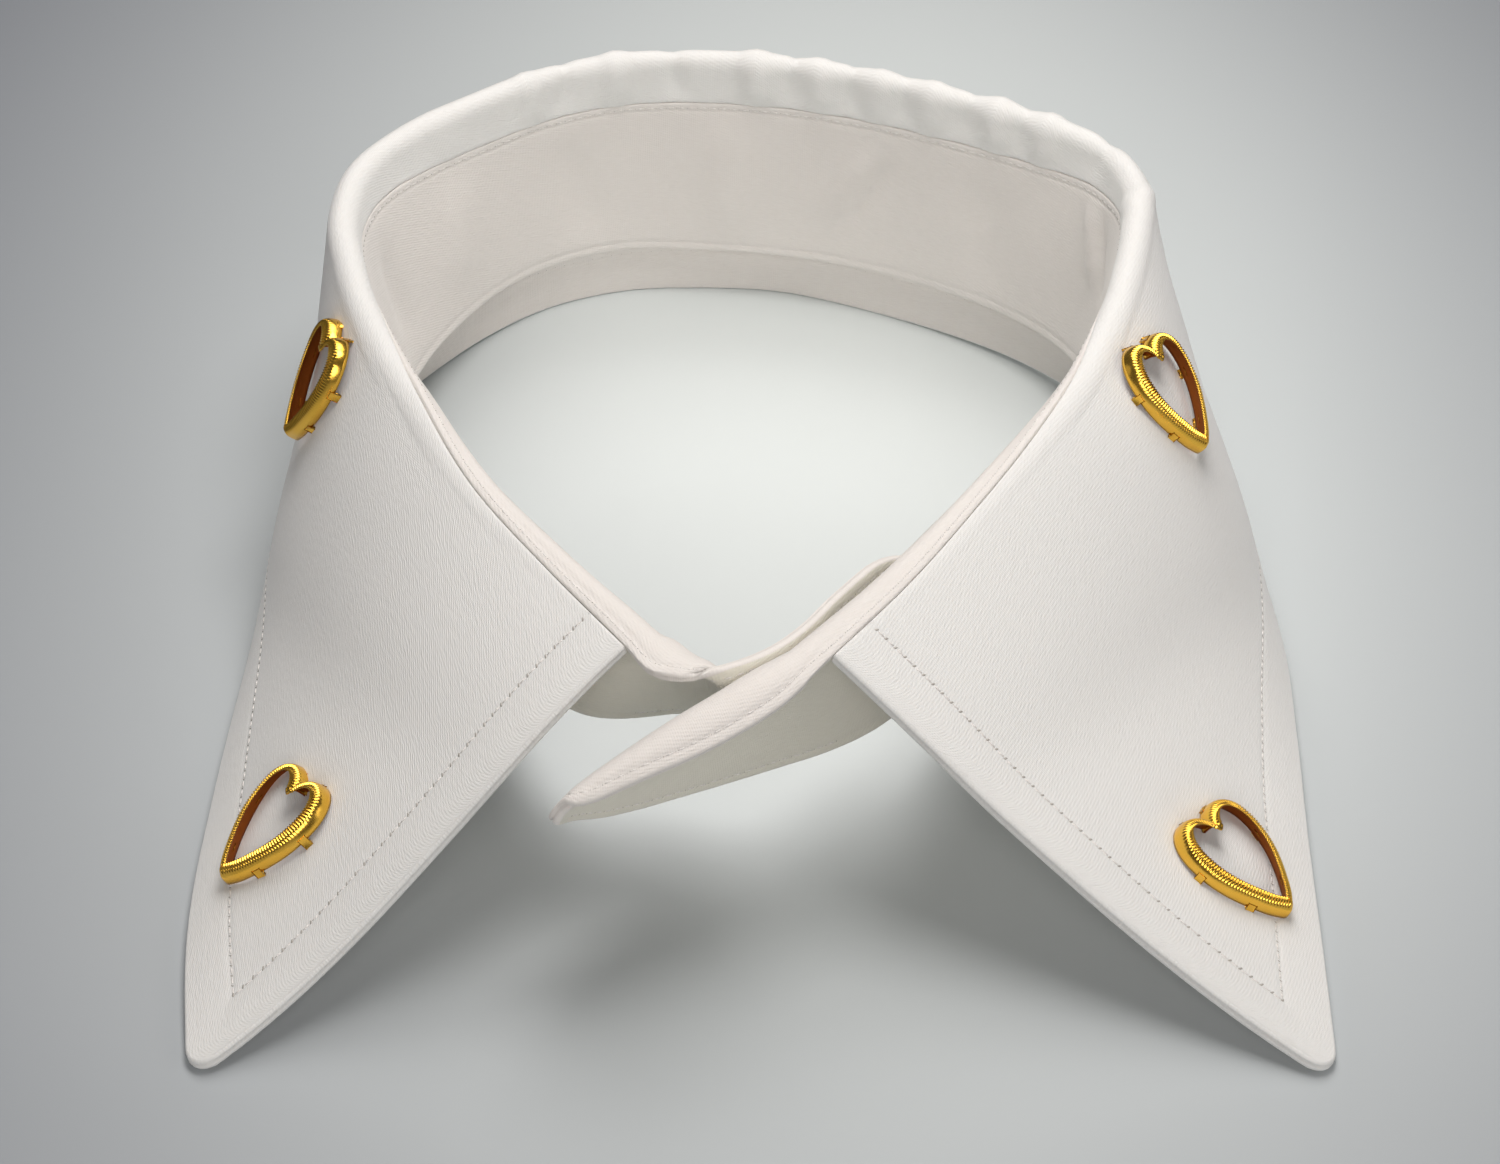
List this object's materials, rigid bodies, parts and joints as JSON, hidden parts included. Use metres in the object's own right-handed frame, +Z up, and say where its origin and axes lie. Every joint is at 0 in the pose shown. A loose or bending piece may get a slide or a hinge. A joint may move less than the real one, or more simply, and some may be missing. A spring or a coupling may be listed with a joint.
{
  "type": "detachable shirt collar",
  "caption": "Detachable white cotton collar with a stand, long points and gilt open-heart settings, standing folded in a ring.",
  "frame": {"origin": "middle of the underside of the whole collar, on the surface it stands on", "axes": "+Z up, +Y towards the back of the neck, +X to the right seen from the front opening"},
  "size_m": [0.1492, 0.181, 0.0463],
  "materials": {
    "cloth": "fine white cotton twill with a soft sheen",
    "band_cloth": "fine white cotton twill",
    "gilt": "bright yellow gold plating"
  },
  "bodies": {
    "root": {"fall": "cloth", "stand": "band_cloth", "heart_upper_left": "gilt", "heart_upper_right": "gilt", "heart_lower_left": "gilt", "heart_lower_right": "gilt"}
  },
  "joints": []
}
